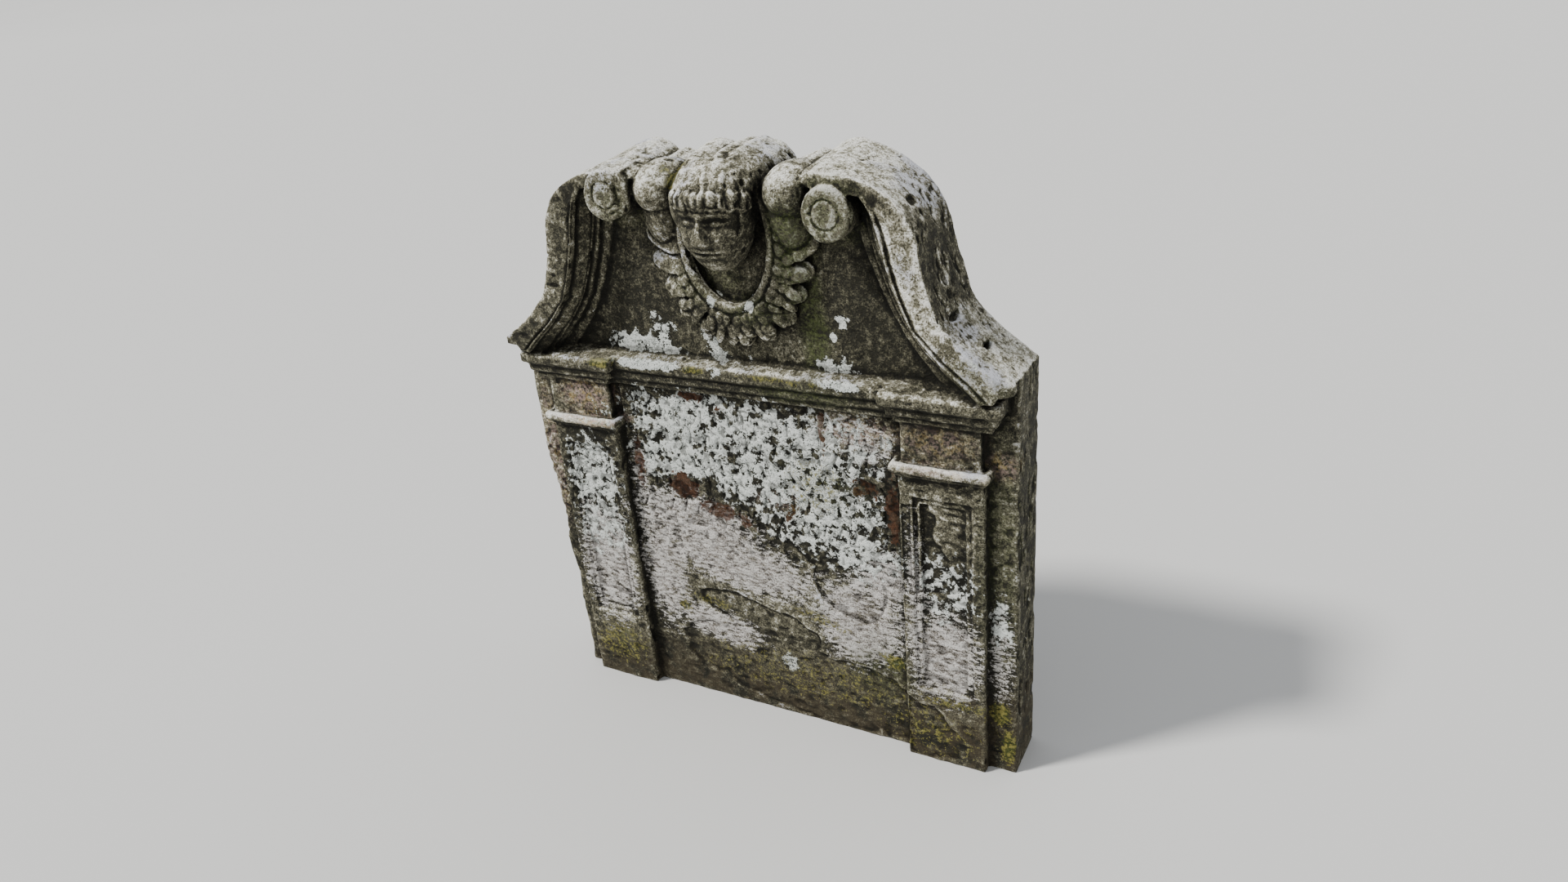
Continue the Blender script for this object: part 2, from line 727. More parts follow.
@dataclass
class Weathering:
    """Wear of the stone's surface: rounding, pits, chips, flaked sheets and strokes.

    Attributes:
        slab: The slab.
        head: The head and the wings, which are worn less.
        inscription: The strokes to cut.
        moulding: The grooves to cut.
        flaked: Places on the front where a thin sheet of stone is gone.
        rounding: How far the rounding of arrises reaches.
        edge_reach: How far from an arris chips start.
        pit_depth: Of the long pits in the sides.
        dimple_depth: Of the dimples in the tops.
        chip_depth: Of chips along the arrises.
        flake_depth: The thickness of a lost sheet.
        ripple: Height of the ripple of the lower front.
        crust: Thickness of the lichen crust.
        band_loss: Depth of the worn lines in the left end of the moulding.
        tooling: Depth of the back's tooling in the middle, and how much it varies.
    """

    slab: Slab
    head: WingedHead
    inscription: Inscription
    moulding: Moulding
    flaked: tuple[Spot, ...] = places(
        (0.08, 0.45, 0.3, 0.09, -12), (0.085, 0.09, 0.3, 0.08, -8), (-0.01, 0.195, 0.15, 0.036, -12),
        (0.16, 0.3, 0.06, 0.06),
    )
    rounding: float = 0.0040
    edge_reach: float = 0.006
    pit_depth: float = 0.0036
    dimple_depth: float = 0.0020
    chip_depth: float = 0.0036
    flake_depth: float = 0.0034
    ripple: float = 0.0011
    crust: float = 0.0022
    band_loss: float = 0.0022
    tooling: tuple[float, float] = (0.0016, 0.0009)

    def worn_left_edge(self, points: np.ndarray) -> np.ndarray:
        """How far the slab's left edge is lost towards the middle, in metres."""
        low = 1 - smooth_step(0.36, 0.50, points[:, 2])
        ragged = rough_noise(points * (0, 1, 1), 0.060, 3, 41)
        edge = smooth_step(-self.slab.half_width + 0.060, -self.slab.half_width, points[:, 0])
        return low * edge * (0.014 + 0.010 * ragged)

    def sides_and_tops(self, points: np.ndarray, normals: np.ndarray) -> np.ndarray:
        """How deep the pits of the sides and the dimples of the tops are, in metres."""
        pits = grain_noise(points, (0.008, 0.011, 0.034), 7)
        pits += 0.7 * grain_noise(points, (0.005, 0.006, 0.015), 8)
        sideways = smooth_step(0.6, 0.9, np.abs(normals[:, 0]))
        dimples = rough_noise(points, 0.016, 2, 9) + 0.5 * rough_noise(points, 0.05, 1, 10)
        tops = smooth_step(0.30, 0.75, normals[:, 2])
        return (
            self.pit_depth * smooth_step(0.15, 0.9, pits) * sideways
            + self.dimple_depth * smooth_step(0.30, 1.00, dimples) * tops
        )

    def front_losses(self, points: np.ndarray, front: np.ndarray) -> np.ndarray:
        """How deep flakes are lost from the front, less the ripple and the crust on it, in metres."""
        x, z = points[:, 0], points[:, 2]
        level = covered(self.flaked, points) + 0.60 * rough_noise(points, 0.085, 4, 51)
        ripple = grain_noise(points, (0.022, 0.02, 0.0075), 63)
        ripple += 0.5 * grain_noise(points, (0.010, 0.01, 0.005), 64)
        crusted = smooth_step(0.28, 0.40, z) * (1 - smooth_step(0.62, 0.65, z)) * front
        crusted *= (np.abs(x) < 0.257) | ((x < 0) & (z < 0.515))
        crust = smooth_step(-0.12, 0.15, rough_noise(points, 0.013, 2, 61))
        return (
            self.flake_depth * smooth_step(0.47, 0.56, level) * front
            - self.ripple * front * ripple * (z < 0.66) - self.crust * crusted * crust
        )

    def cuts(self, points: np.ndarray, ahead: np.ndarray) -> np.ndarray:
        """How deep the grooves, the worn lines of the left moulding and the strokes are, in metres."""
        x, z = points[:, 0], points[:, 2]
        worn = (x < -0.27) * smooth_step(0.70, 0.74, z) * smooth_step(0.5, 0.9, ahead)
        lines = smooth_step(0.2, 0.8, grain_noise(points, (0.030, 0.03, 0.0085), 71))
        strokes = self.inscription.depth_at(points) * (np.abs(x) < self.inscription.edge)
        return (
            self.moulding.depth_at(points, ahead) + self.band_loss * worn * lines
            + strokes * smooth_step(0.6, 0.9, ahead)
        )

    def rear_tooling(self, points: np.ndarray, ahead: np.ndarray) -> np.ndarray:
        """How deep the slanting tool marks of the back are, in metres."""
        slanting = points @ np.array(((0.77, 0.0, -0.64), (0.0, 1.0, 0.0), (0.64, 0.0, 0.77)))
        marks = grain_noise(slanting, (0.060, 0.06, 0.010), 83) + 0.5 * rough_noise(points, 0.030, 2, 84)
        mean, spread = self.tooling
        return smooth_step(0.75, 0.95, -ahead) * (mean + spread * marks)

    def wear(self, mesh: Mesh, grain: float) -> np.ndarray:
        """Work out where the worn surface lies.

        Args:
            mesh: The carved surface.
            grain: The size of its cells.

        Returns:
            The new places of its vertices.
        """
        ahead, carved = -mesh.normals[:, 1], self.head.near(mesh.points)
        soft = mesh.spread(mesh.points, max(1, round(self.rounding / grain)))
        points = mesh.points + (soft - mesh.points) * (1 - 0.85 * carved)[:, None]
        edge = -mesh.hollow(round(self.edge_reach / grain) * 2)
        out = 0.0011 * rough_noise(points, 0.090, 3, 3) * (1 - 0.7 * carved)
        out += 0.0011 * rough_noise(points, 0.026, 3, 11) * (1 - 0.6 * carved)
        out += 0.0006 * rough_noise(points, 0.009, 2, 23)
        out -= self.sides_and_tops(points, mesh.normals)
        chips = smooth_step(0.0004, 0.0016, edge) * smooth_step(-0.1, 0.7, rough_noise(points, 0.030, 2, 31))
        out -= self.chip_depth * chips * (1 - 0.8 * carved)
        out -= self.front_losses(points, smooth_step(0.75, 0.95, ahead) * (1 - carved))
        out -= self.cuts(points, ahead)
        out -= self.rear_tooling(points, ahead)
        moved = points + mesh.normals * out[:, None]
        moved[:, 0] += self.worn_left_edge(points)
        return moved


@dataclass
class Patina:
    """What grows and lies on the stone, by place and by how the surface faces.

    Attributes:
        head: The head and the wings.
        lichen: Crusts of pale lichen.
        sheets: Smooth pale sheets.
        moss: Yellow-green moss.
        algae: A green film.
        bare: Bare red stone.
        blush: A pink and ochre tinge.
        pale: Bleached stone.
        shelter_reach: How far away stone still shelters a point.
        bleached_back: How much the back is bleached.
    """

    head: WingedHead
    lichen: tuple[Spot, ...] = places(
        (-0.08, 0.57, 0.19, 0.062, -4, 0.74), (0.06, 0.56, 0.19, 0.072, 0, 0.7),
        (-0.15, 0.5, 0.11, 0.045, 0, 0.72), (0.02, 0.48, 0.12, 0.06, 0, 0.74),
        (0.12, 0.45, 0.13, 0.1, 0, 0.66), (0.185, 0.375, 0.08, 0.05, 0, 0.66),
        (0.06, 0.4, 0.08, 0.04, -20, 0.62), (-0.335, 0.455, 0.06, 0.075, 0, 0.8),
        (-0.335, 0.36, 0.055, 0.08, 0, 0.66), (0.335, 0.35, 0.06, 0.07, 0, 0.52),
        (0.425, 0.3, 0.02, 0.05, 0, 0.6), (-0.192, 0.706, 0.066, 0.022, -6, 0.86),
        (-0.15, 0.733, 0.022, 0.026, 0, 0.66), (-0.165, 0.762, 0.01, 0.01, 0, 0.6),
        (-0.215, 0.725, 0.02, 0.01, 10, 0.6), (-0.055, 0.718, 0.013, 0.022, 15, 0.8),
        (-0.043, 0.7, 0.018, 0.016, 0, 0.9), (-0.068, 0.742, 0.01, 0.016, 0, 0.76),
        (0.16, 0.703, 0.036, 0.013, -4, 0.84), (0.19, 0.697, 0.016, 0.008, 0, 0.8),
        (0.176, 0.78, 0.011, 0.011, 0, 0.84), (0.16, 0.752, 0.008, 0.009, 0, 0.7),
        (0.172, 0.722, 0.009, 0.006, 0, 0.6), (-0.175, 0.685, 0.072, 0.01, 0, 1.1),
        (0.178, 0.685, 0.034, 0.009), (-0.045, 0.684, 0.014, 0.01, 0, 0.9),
        (0.029, 0.113, 0.018, 0.018, 0, 0.8), (-0.035, 0.802, 0.007, 0.011, 0, 0.9),
        (0.032, 0.801, 0.013, 0.009, 30, 0.9), (0.401, 0.752, 0.009, 0.007, 0, 1.1),
        (0.01, 0.7, 0.012, 0.01, 0, 0.5),
    )
    sheets: tuple[Spot, ...] = places(
        (-0.13, 0.37, 0.13, 0.06, -14, 0.86), (-0.06, 0.31, 0.15, 0.055, -10, 0.86),
        (0.175, 0.235, 0.078, 0.085, 0, 0.84), (0.225, 0.33, 0.045, 0.05, 0, 0.78),
        (-0.11, 0.16, 0.085, 0.034, -12, 0.82), (-0.335, 0.26, 0.062, 0.12, 0, 0.8),
        (-0.215, 0.28, 0.045, 0.13, 0, 0.8), (0.335, 0.22, 0.06, 0.085, 0, 0.86),
        (0.285, 0.3, 0.016, 0.16, 0, 0.64), (0.425, 0.23, 0.02, 0.1, 0, 0.56),
        (0.205, 0.585, 0.05, 0.045, 0, 0.5), (-0.24, 0.44, 0.02, 0.09, 0, 0.56),
    )
    moss: tuple[Spot, ...] = places(
        (0.422, 0.117, 0.02, 0.022, 0, 0.9), (0.236, 0.174, 0.024, 0.014, 0, 0.9),
        (-0.184, 0.191, 0.014, 0.012, 0, 0.8), (0.437, 0.052, 0.014, 0.034, 0, 0.9),
        (0.35, 0.13, 0.06, 0.012, 0, 0.55), (-0.262, 0.684, 0.026, 0.007, 0, 0.9),
        (0.05, 0.683, 0.05, 0.006, 0, 0.62), (-0.085, 0.684, 0.022, 0.006, 0, 0.74),
        (0.12, 0.681, 0.04, 0.006, 0, 0.52), (0.11, 0.49, 0.06, 0.05, 0, 0.36),
        (-0.072, 0.992, 0.012, 0.018, 0, 0.92), (-0.086, 1.01, 0.016, 0.008, 0, 0.8),
        (0.11, 0.225, 0.06, 0.01, -14, 0.5), (-0.12, 0.212, 0.05, 0.01, -14, 0.52),
        (-0.335, 0.085, 0.06, 0.05, 0, 0.5), (0.06, 0.09, 0.23, 0.05, 0, 0.34),
        (0.3, 0.06, 0.1, 0.05, 0, 0.36), (0.4, 0.735, 0.03, 0.012, 0, 0.3),
    )
    algae: tuple[Spot, ...] = places(
        (0.122, 0.83, 0.022, 0.06, 4, 0.9), (0.13, 0.745, 0.022, 0.062, 0, 0.9),
        (0.188, 0.955, 0.048, 0.048, 0, 0.75), (0.11, 0.9, 0.032, 0.07, 0, 0.95),
        (-0.185, 0.955, 0.046, 0.04, 0, 0.5), (0.05, 0.795, 0.06, 0.024, 0, 0.55),
        (0.4, 0.725, 0.05, 0.03, 0, 0.4), (-0.05, 0.83, 0.06, 0.03, 0, 0.4),
        (0.11, 0.66, 0.08, 0.018, 0, 0.5), (0.425, 0.42, 0.03, 0.18, 0, 0.4),
        (0.11, 0.48, 0.08, 0.06, 0, 0.45), (0.21, 0.15, 0.06, 0.06, 0, 0.4),
    )
    bare: tuple[Spot, ...] = places(
        (-0.152, 0.447, 0.03, 0.022, -8), (-0.085, 0.413, 0.036, 0.014, -8, 0.95),
        (0.246, 0.47, 0.012, 0.07, 0, 0.8), (-0.035, 0.4, 0.03, 0.01, -20, 0.7),
        (0.13, 0.6, 0.006, 0.04, 0, 0.7), (-0.06, 0.6, 0.02, 0.01, 0, 0.55),
        (-0.238, 0.48, 0.01, 0.06, 0, 0.7), (0.2, 0.5, 0.03, 0.02, 10, 0.55),
        (-0.11, 0.625, 0.03, 0.008, 0, 0.55), (0.06, 0.44, 0.012, 0.03, -30, 0.5),
    )
    blush: tuple[Spot, ...] = places(
        (-0.32, 0.61, 0.05, 0.026, 0, 0.8), (-0.31, 0.568, 0.06, 0.01), (0.33, 0.61, 0.06, 0.024, 0, 0.3),
        (0.32, 0.568, 0.06, 0.009, 0, 0.6), (0.19, 0.6, 0.06, 0.024, 0, 0.7),
        (0.425, 0.575, 0.024, 0.02, 0, 0.6), (-0.43, 0.48, 0.016, 0.12, 0, 0.5),
        (0.06, 0.45, 0.06, 0.016, 0, 0.35),
    )
    pale: tuple[Spot, ...] = places(
        (0.318, 0.85, 0.04, 0.11, 14, 0.74), (0.29, 0.93, 0.04, 0.04, 0, 0.7),
        (0.395, 0.745, 0.05, 0.03, -30, 0.62), (0.03, 0.725, 0.14, 0.032, 0, 0.38),
        (0, 0.985, 0.08, 0.04, 0, 0.26), (0, 0.9, 0.06, 0.045, 0, 0.2), (0.105, 0.985, 0.04, 0.03, 0, 0.3),
        (-0.105, 0.975, 0.045, 0.05, 0, 0.34), (0.188, 0.955, 0.046, 0.046, 0, 0.52),
        (-0.185, 0.96, 0.046, 0.046, 0, 0.5), (-0.33, 0.86, 0.03, 0.11, -14, 0.3),
        (-0.335, 0.568, 0.085, 0.012, 0, 0.66), (0.335, 0.568, 0.085, 0.012, 0, 0.66),
        (0.18, 0.6, 0.075, 0.036, 0, 0.56), (-0.335, 0.61, 0.07, 0.036, 0, 0.44),
        (0.335, 0.61, 0.07, 0.036, 0, 0.16), (0.335, 0.48, 0.07, 0.09, 0, 0.36),
        (0.43, 0.48, 0.024, 0.16, 0, 0.3), (0, 0.25, 0.26, 0.08, 0, 0.4),
        (0.335, 0.12, 0.07, 0.05, 0, 0.34), (0.06, 0.11, 0.23, 0.06, 0, 0.28),
        (-0.335, 0.12, 0.07, 0.06, 0, 0.4), (-0.43, 0.5, 0.024, 0.15, 0, 0.4),
        (0, 0.85, 0.1, 0.04, 0, 0.26), (-0.1, 0.86, 0.05, 0.08, 0, 0.34), (0.11, 0.86, 0.05, 0.08, 0, 0.3),
    )

    shelter_reach: float = 0.055
    bleached_back: float = 0.30

    def shelter(self, item: bpy.types.Object, mesh: Mesh, rays: int) -> np.ndarray:
        """Say how closed in each point is, from 0 in the open to 1 in a deep gap."""
        tree = BVHTree.FromObject(item, bpy.context.evaluated_depsgraph_get())
        chance = np.random.default_rng(5)
        hits = np.zeros(len(mesh.points))
        starts = (mesh.points + mesh.normals * 0.0008).tolist()
        for _ in range(rays):
            aim = chance.normal(size=mesh.points.shape)
            aim /= np.linalg.norm(aim, axis=1)[:, None]
            aim += mesh.normals
            aim /= np.maximum(np.linalg.norm(aim, axis=1), 1e-6)[:, None]
            for k, (start, way) in enumerate(zip(starts, aim.tolist())):
                distance = tree.ray_cast(start, way, self.shelter_reach)[3]
                if distance is not None:
                    hits[k] += 1 - distance / self.shelter_reach
        return mesh.spread(hits / rays, 1)

    def grow(self, item: bpy.types.Object, rays: int) -> None:
        """Write every cover as an attribute of the finished mesh.

        Args:
            item: The stone.
            rays: Rays from each point that look for shelter.
        """
        mesh = Mesh.read(item.data)
        points, normals, height = mesh.points, mesh.normals, mesh.points[:, 2]
        ahead = smooth_step(0.15, 0.6, -normals[:, 1])
        carved = self.head.near(points)
        splashed = height - 0.10 * points[:, 0] - 0.02 * rough_noise(points, 0.05, 3, 71)
        ledge = smooth_step(0.640, 0.650, height) * (1 - smooth_step(0.692, 0.700, height))
        back = self.bleached_back * smooth_step(0.3, 0.8, normals[:, 1])
        raised = mesh.hollow(6) / (0.0016 - 0.0009 * carved)
        open_up = smooth_step(0.10, 0.90, mesh.spread(normals[:, 2], 2))
        covers = {
            Growth.LICHEN: covered(self.lichen, points) * ahead,
            Growth.SHEET: covered(self.sheets, points) * ahead,
            Growth.MOSS: covered(self.moss, points) * smooth_step(-0.1, 0.3, ahead),
            Growth.ALGAE: covered(self.algae, points) * smooth_step(-0.1, 0.4, ahead),
            Growth.BARE: covered(self.bare, points) * ahead,
            Growth.SOIL: 1 - smooth_step(0.02, 0.19, splashed),
            Growth.BLUSH: covered(self.blush, points) * ahead,
            Growth.PALE: np.maximum(covered(self.pale, points) * ahead, back),
            Growth.CREVICE: np.clip(1.5 * self.shelter(item, mesh, rays), 0, 1),
            Growth.HOLLOW: np.clip(0.5 + 0.5 * raised, 0, 1),
            Growth.SKY: open_up * (1 - 0.45 * ledge) * (1 - 0.30 * carved),
        }
        for cover, values in covers.items():
            layer = item.data.attributes.new(cover.value, "FLOAT", "POINT")
            layer.data.foreach_set("value", values.astype(np.float32))


# The finish


@dataclass
class Nodes:
    """A short way to lay out a shader: each call adds one node and returns its output."""

    tree: bpy.types.NodeTree

    def add(self, kind: str, **settings: object) -> bpy.types.Node:
        """Add a node and set its properties."""
        node = self.tree.nodes.new(kind)
        for name, value in settings.items():
            setattr(node, name, value)
        return node

    def feed(self, socket: Socket, value: object) -> None:
        """Link or set a socket."""
        if isinstance(value, Socket):
            self.tree.links.new(value, socket)
        elif isinstance(value, tuple) and len(value) == 3 and socket.type == "RGBA":
            socket.default_value = (*value, 1.0)
        else:
            socket.default_value = value

    def math(self, operation: str, first: object, second: object) -> Socket:
        """Combine two numbers."""
        node = self.add("ShaderNodeMath", operation=operation)
        self.feed(node.inputs[0], first)
        self.feed(node.inputs[1], second)
        return node.outputs[0]

    def attribute(self, growth: Growth) -> Socket:
        """Read one cover of the stone."""
        return self.add("ShaderNodeAttribute", attribute_name=growth.value).outputs["Fac"]

    def stretched(self, size: Tint) -> Socket:
        """The place on the stone, stretched along each axis."""
        place = self.add("ShaderNodeTexCoord").outputs["Object"]
        node = self.add("ShaderNodeMapping")
        self.feed(node.inputs["Vector"], place)
        node.inputs["Scale"].default_value = size
        return node.outputs["Vector"]

    def noise(self, scale: float, detail: float, rough: float = 0.6, size: Tint = (1, 1, 1)) -> Socket:
        """Cloudy noise, centred on 0.5."""
        node = self.add("ShaderNodeTexNoise")
        self.feed(node.inputs["Vector"], self.stretched(size))
        for name, number in zip(("Scale", "Detail", "Roughness"), (scale, detail, rough)):
            node.inputs[name].default_value = number
        return node.outputs["Fac"]

    def even(self, value: object, low: float = 0.30, high: float = 0.70) -> Socket:
        """Stretch noise that keeps near 0.5 over the whole range from 0 to 1."""
        node = self.add("ShaderNodeMapRange")
        for name, number in zip(("Value", "From Min", "From Max"), (value, low, high)):
            self.feed(node.inputs[name], number)
        return node.outputs["Result"]

    def ramp(self, value: object, *stops: tuple[float, Tint]) -> Socket:
        """Run through several colours as the value rises."""
        node = self.add("ShaderNodeValToRGB")
        self.feed(node.inputs["Fac"], value)
        elements = node.color_ramp.elements
        while len(elements) < len(stops):
            elements.new(0.5)
        for element, (place, tint) in zip(elements, stops):
            element.position, element.color = place, (*tint, 1.0)
        return node.outputs["Color"]

    def blend(self, *parts: tuple[object, float]) -> Socket:
        """Add up values, each with its own weight."""
        total = self.math("MULTIPLY", *parts[0])
        for value, weight in parts[1:]:
            total = self.math("ADD", total, self.math("MULTIPLY", value, weight))
        return total

    def step(self, value: object, low: float, high: float, start: float = 0.0, end: float = 1.0) -> Socket:
        """Rise smoothly from start at low to end at high."""
        node = self.add("ShaderNodeMapRange", interpolation_type="SMOOTHSTEP")
        names = ("Value", "From Min", "From Max", "To Min", "To Max")
        for name, number in zip(names, (value, low, high, start, end)):
            self.feed(node.inputs[name], number)
        return node.outputs["Result"]

    def mix(self, share: object, first: object, second: object, blend: str = "MIX") -> Socket:
        """Blend two colours."""
        node = self.add("ShaderNodeMix", data_type="RGBA", blend_type=blend)
        self.feed(node.inputs["Factor"], share)
        self.feed(node.inputs[6], first)  # inputs 6 and 7 and output 2 are the colours
        self.feed(node.inputs[7], second)
        return node.outputs[2]


@dataclass(frozen=True)
class Patterns:
    """Noise that all covers share, from coarse to fine, and three mixes of it, each from 0 to 1."""

    broad: Socket
    blotch: Socket
    streak: Socket
    clump: Socket
    flat_grain: Socket
    crumb: Socket
    fine: Socket
    grit: Socket
    speckle: Socket
    lumps: Socket
    scaly: Socket

    @classmethod
    def laid(cls, n: Nodes) -> "Patterns":
        """Lay out the noise."""
        blotch = n.even(n.noise(34.0, 5.0, 0.62))
        clump = n.even(n.noise(70.0, 5.0, 0.55))
        flat_grain = n.even(n.noise(120.0, 4.0, 0.62, (0.55, 1.0, 1.5)))
        crumb = n.even(n.noise(190.0, 4.0, 0.62))
        fine = n.even(n.noise(430.0, 3.0, 0.65))
        return cls(
            broad=n.even(n.noise(9.0, 4.0)), blotch=blotch,
            streak=n.even(n.noise(55.0, 4.0, 0.62, (1.0, 1.0, 0.25))),
            clump=clump, flat_grain=flat_grain, crumb=crumb, fine=fine, grit=n.noise(1100.0, 2.0),
            speckle=n.even(n.blend((clump, 0.30), (crumb, 0.36), (fine, 0.34)), 0.22, 0.78),
            lumps=n.even(n.blend((clump, 0.62), (crumb, 0.24), (fine, 0.14)), 0.20, 0.80),
            scaly=n.even(n.blend((flat_grain, 0.52), (blotch, 0.18), (fine, 0.30)), 0.22, 0.78),
        )


@dataclass(frozen=True)
class SandstoneFinish:
    """Old sandstone in the open, with what grows on it. Colours are linear."""

    black: Tint = (0.006, 0.006, 0.004)
    dark: Tint = (0.020, 0.019, 0.013)
    mid: Tint = (0.080, 0.075, 0.050)
    fawn: Tint = (0.240, 0.225, 0.155)
    pale: Tint = (0.500, 0.480, 0.390)
    white: Tint = (0.900, 0.890, 0.820)
    blue: Tint = (0.520, 0.540, 0.640)
    pink: Tint = (0.430, 0.300, 0.270)
    ochre: Tint = (0.500, 0.340, 0.130)
    lichen_white: Tint = (0.720, 0.750, 0.715)
    lichen_grey: Tint = (0.300, 0.330, 0.290)
    sheet_pale: Tint = (0.690, 0.665, 0.635)
    sheet_grey: Tint = (0.230, 0.205, 0.180)
    moss_dark: Tint = (0.045, 0.055, 0.010)
    moss_bright: Tint = (0.240, 0.215, 0.055)
    algae_green: Tint = (0.090, 0.120, 0.030)
    bare_red: Tint = (0.095, 0.032, 0.013)
    soil_brown: Tint = (0.060, 0.046, 0.026)
    gap_shade: Tint = (0.060, 0.055, 0.045)

    @staticmethod
    def crust(n: Nodes, cover: object, pattern: object, edge: float) -> Socket:
        """Turn a cover from 0 to 1 into patches with a crisp rim that fill as much of the stone."""
        level = n.math("ADD", cover, pattern)
        return n.math("MULTIPLY", n.step(level, 1 - edge, 1 + edge), n.step(cover, 0.02, 0.12))

    @staticmethod
    def flecked(n: Nodes, fine: Socket, colour: Socket, reach: float, amount: float, fleck: Tint) -> Socket:
        """Put small dark specks on a colour, where the fine noise is lowest."""
        return n.mix(n.step(fine, reach, 0.10, 0.0, amount), colour, fleck)

    def bleaching(self, n: Nodes, p: Patterns, groove: Socket) -> Socket:
        """How far the stone itself is bleached: most on its tops and edges, least in its hollows."""
        edge = n.step(n.attribute(Growth.HOLLOW), 0.46, 0.18)
        cover = n.blend(
            (n.attribute(Growth.SKY), 0.72), (n.attribute(Growth.PALE), 0.80), (edge, 0.26), (groove, -0.30),
        )
        cover = n.math("ADD", cover, n.blend((p.blotch, 0.12), (p.streak, 0.12), (p.broad, 0.04)))
        return n.math("ADD", cover, n.math("MULTIPLY", n.math("SUBTRACT", p.speckle, 0.60), 0.85))

    def stone(self, n: Nodes, p: Patterns, level: Socket) -> Socket:
        """Colour the stone itself, from nearly black to white, with blue, pink and ochre in places."""
        shades = (self.dark, self.mid, self.fawn, self.pale, self.white)
        colour = n.ramp(level, *zip((0.00, 0.30, 0.56, 0.76, 1.0), shades))
        colour = self.flecked(n, p.fine, colour, 0.42, 0.62, self.black)
        bluish = n.math("MULTIPLY", n.step(level, 0.55, 0.80), n.step(p.broad, 0.50, 0.80, 0.0, 0.65))
        colour = n.mix(bluish, colour, self.blue)
        blush = n.math("MULTIPLY", n.attribute(Growth.BLUSH), n.step(p.crumb, 0.25, 0.70))
        warm = n.mix(n.step(p.clump, 0.4, 0.65), self.pink, self.ochre)
        return n.mix(n.math("MULTIPLY", blush, 0.75), colour, warm)

    def overgrown(self, n: Nodes, p: Patterns, colour: Socket) -> tuple[Socket, Socket]:
        """Lay sheets, bare stone, soil, algae, lichen and moss over a colour.

        Args:
            n: The shader.
            p: Its noise.
            colour: The stone's own colour.

        Returns:
            The colour with all covers on it, and where lichen lies.
        """
        sheet_colour = n.mix(n.step(p.scaly, 0.20, 0.75), self.sheet_grey, self.sheet_pale)
        sheet_colour = self.flecked(n, p.fine, sheet_colour, 0.40, 0.85, self.dark)
        sheet = self.crust(n, n.attribute(Growth.SHEET), p.scaly, 0.14)
        bare = self.crust(n, n.attribute(Growth.BARE), p.lumps, 0.10)
        soil = n.math("MULTIPLY", n.attribute(Growth.SOIL), n.step(p.blotch, 0.20, 0.62))
        algae = n.math("MULTIPLY", n.attribute(Growth.ALGAE), n.step(p.speckle, 0.10, 0.60))
        lichen_colour = n.mix(n.step(p.speckle, 0.20, 0.55), self.lichen_grey, self.lichen_white)
        lichen_colour = self.flecked(n, p.fine, lichen_colour, 0.36, 0.90, self.dark)
        lichen = self.crust(n, n.math("SUBTRACT", n.attribute(Growth.LICHEN), 0.05), p.lumps, 0.06)
        lichen = n.math("MULTIPLY", lichen, n.math("SUBTRACT", 1.0, bare))
        moss_colour = n.mix(n.step(p.crumb, 0.35, 0.75), self.moss_dark, self.moss_bright)
        moss = self.crust(n, n.attribute(Growth.MOSS), p.speckle, 0.10)
        for cover, strength, tint in (
            (sheet, 0.92, sheet_colour), (bare, 0.85, n.mix(p.speckle, self.dark, self.bare_red)),
            (soil, 0.55, self.soil_brown), (algae, 0.75, n.mix(p.crumb, self.dark, self.algae_green)),
            (lichen, 1.0, lichen_colour), (moss, 0.85, moss_colour),
        ):
            colour = n.mix(n.math("MULTIPLY", cover, strength), colour, tint)
        return colour, lichen

    def make(self) -> bpy.types.Material:
        """Build the material."""
        material = bpy.data.materials.new(SLOT)
        material.use_nodes = True
        shader = material.node_tree.nodes["Principled BSDF"]
        n = Nodes(material.node_tree)
        p = Patterns.laid(n)
        groove = n.step(n.attribute(Growth.HOLLOW), 0.54, 0.80)
        level = self.bleaching(n, p, groove)
        colour, lichen = self.overgrown(n, p, self.stone(n, p, level))
        crevice = n.step(n.attribute(Growth.CREVICE), 0.10, 0.75)
        shade = n.math("MAXIMUM", n.math("MULTIPLY", crevice, 0.96), n.math("MULTIPLY", groove, 0.62))
        colour = n.mix(shade, colour, n.mix(1.0, colour, self.gap_shade, "MULTIPLY"))
        height = n.blend(
            (p.clump, 0.0016), (p.crumb, 0.0013), (p.fine, 0.0008), (p.grit, 0.0003), (lichen, 0.0012),
            (n.step(level, 0.35, 0.70), 0.0004), (p.flat_grain, 0.0016), (p.streak, 0.0004),
        )
        bump = n.add("ShaderNodeBump")
        bump.inputs["Strength"].default_value = 1.0
        bump.inputs["Distance"].default_value = 1.0
        n.feed(bump.inputs["Height"], height)
        n.feed(shader.inputs["Base Color"], colour)
        n.feed(shader.inputs["Roughness"], n.step(p.crumb, 0.2, 0.8, 0.80, 0.98))
        n.feed(shader.inputs["Normal"], bump.outputs["Normal"])
        shader.inputs["Specular IOR Level"].default_value = 0.2
        return material


# The stone


